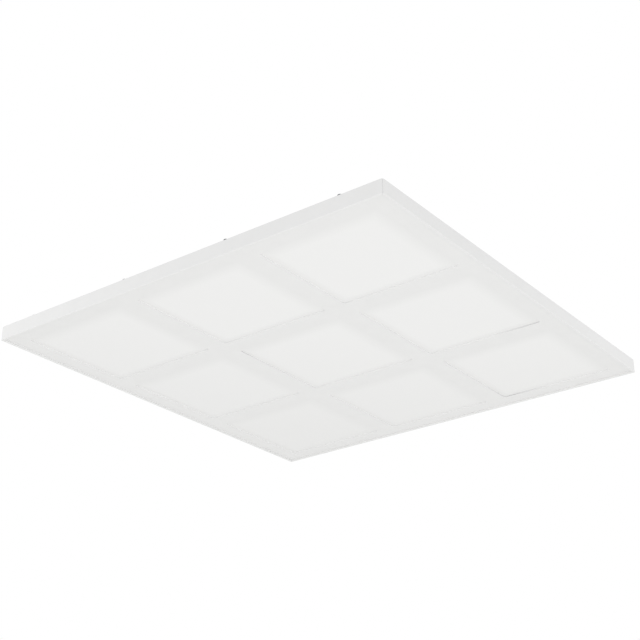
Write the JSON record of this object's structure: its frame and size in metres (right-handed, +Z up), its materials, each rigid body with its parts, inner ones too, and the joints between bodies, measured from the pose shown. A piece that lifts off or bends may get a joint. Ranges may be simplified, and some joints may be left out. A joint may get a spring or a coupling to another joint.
{
  "type": "led ceiling panel",
  "caption": "Square lay-in ceiling light panel: slim mitred white frame, flat grid of square opal windows, sheet back with a driver, swivel clips and suspension tabs.",
  "frame": {"origin": "middle of the panel on the plane of its front rim", "axes": "+Z up into the ceiling void, away from the lit face; X along the driver, with the mains inlet at -X"},
  "size_m": [0.595, 0.595, 0.0426],
  "materials": {
    "rail_white": "satin white powder coat",
    "grid_white": "satin white paint",
    "opal": "satin opal acrylic",
    "reflector_white": "matt white formed sheet",
    "plate_white": "satin white paint",
    "zinc_steel": "zinc plated",
    "dark_screw": "dark zinc plated",
    "bright_screw": "bright zinc plated",
    "rivet_aluminium": "plain",
    "board_aluminium": "white solder mask",
    "phosphor": "yellow phosphor gel",
    "lens_clear": "clear acrylic",
    "case_white": "fine texture",
    "connector_white": "moulded nylon",
    "clamp_grey": "moulded nylon",
    "lead_white": "smooth sheath",
    "grommet_rubber": "matt",
    "driver_laminate": "green solder mask",
    "terminal_grey": "moulded",
    "ferrite": "matt ferrite",
    "winding_tape": "yellow tape",
    "copper_wire": "enamelled wire",
    "capacitor_sleeve": "printed sleeve, bare"
  },
  "bodies": {
    "panel": {"back_plate": "plate_white", "back_screws": "dark_screw", "board_connectors": "connector_white", "bracket_rivets": "rivet_aluminium", "clamp_screws": "bright_screw", "clip_rivets": "rivet_aluminium", "corner_key_1": "zinc_steel", "corner_key_2": "zinc_steel", "corner_key_3": "zinc_steel", "corner_key_4": "zinc_steel", "diffuser_sheet": "opal", "driver_base": "case_white", "driver_board": "driver_laminate", "driver_cover": "case_white", "driver_screws": "bright_screw", "entry_box": "case_white", "entry_box_screws": "bright_screw", "frame_rail_front": "rail_white", "frame_rail_left": "rail_white", "frame_rail_rear": "rail_white", "frame_rail_right": "rail_white", "front_grid": "grid_white", "hinge_pins": "bright_screw", "inlet_grommet": "grommet_rubber", "input_capacitor": "capacitor_sleeve", "key_screws": "dark_screw", "lead_clips": "connector_white", "led_board_1": "board_aluminium", "led_board_2": "board_aluminium", "led_board_3": "board_aluminium", "led_board_4": "board_aluminium", "led_board_5": "board_aluminium", "led_board_6": "board_aluminium", "led_board_screws": "bright_screw", "led_chips": "phosphor", "led_lenses": "lens_clear", "line_choke": "copper_wire", "link_leads": "lead_white", "mains_clamp": "clamp_grey", "mains_terminal": "terminal_grey", "output_capacitor": "capacitor_sleeve", "output_clamp": "clamp_grey", "output_lead": "lead_white", "output_terminal": "terminal_grey", "reflector_tray": "reflector_white", "suspension_bracket_1": "zinc_steel", "suspension_bracket_2": "zinc_steel", "suspension_bracket_3": "zinc_steel", "suspension_bracket_4": "zinc_steel", "switch_heatsink": "rivet_aluminium", "transformer_core": "ferrite", "transformer_winding": "winding_tape"},
    "mains_cover": {"mains_cover": "case_white"},
    "output_cover": {"output_cover": "case_white"},
    "hold_down_clip_1": {"hold_down_clip_1": "zinc_steel"},
    "hold_down_clip_2": {"hold_down_clip_2": "zinc_steel"},
    "hold_down_clip_3": {"hold_down_clip_3": "zinc_steel"},
    "hold_down_clip_4": {"hold_down_clip_4": "zinc_steel"}
  },
  "joints": [
    {"name": "mains_cover_hinge", "type": "hinge", "parent": "panel", "child": "mains_cover", "pos_m": [-0.0602, 0, 0.0408], "axis": [0, 1, 0], "range_deg": [0, 90]},
    {"name": "output_cover_hinge", "type": "hinge", "parent": "panel", "child": "output_cover", "pos_m": [0.0602, 0, 0.0408], "axis": [0, -1, 0], "range_deg": [0, 90]},
    {"name": "clip_1_swivel", "type": "hinge", "parent": "panel", "child": "hold_down_clip_1", "pos_m": [-0.2535, -0.1704, 0.0186], "axis": [0, 0, 1], "range_deg": [0, 180]},
    {"name": "clip_2_swivel", "type": "hinge", "parent": "panel", "child": "hold_down_clip_2", "pos_m": [-0.2535, 0.1704, 0.0186], "axis": [0, 0, -1], "range_deg": [0, 180]},
    {"name": "clip_3_swivel", "type": "hinge", "parent": "panel", "child": "hold_down_clip_3", "pos_m": [0.2535, -0.1704, 0.0186], "axis": [0, 0, -1], "range_deg": [0, 180]},
    {"name": "clip_4_swivel", "type": "hinge", "parent": "panel", "child": "hold_down_clip_4", "pos_m": [0.2535, 0.1704, 0.0186], "axis": [0, 0, 1], "range_deg": [0, 180]}
  ]
}
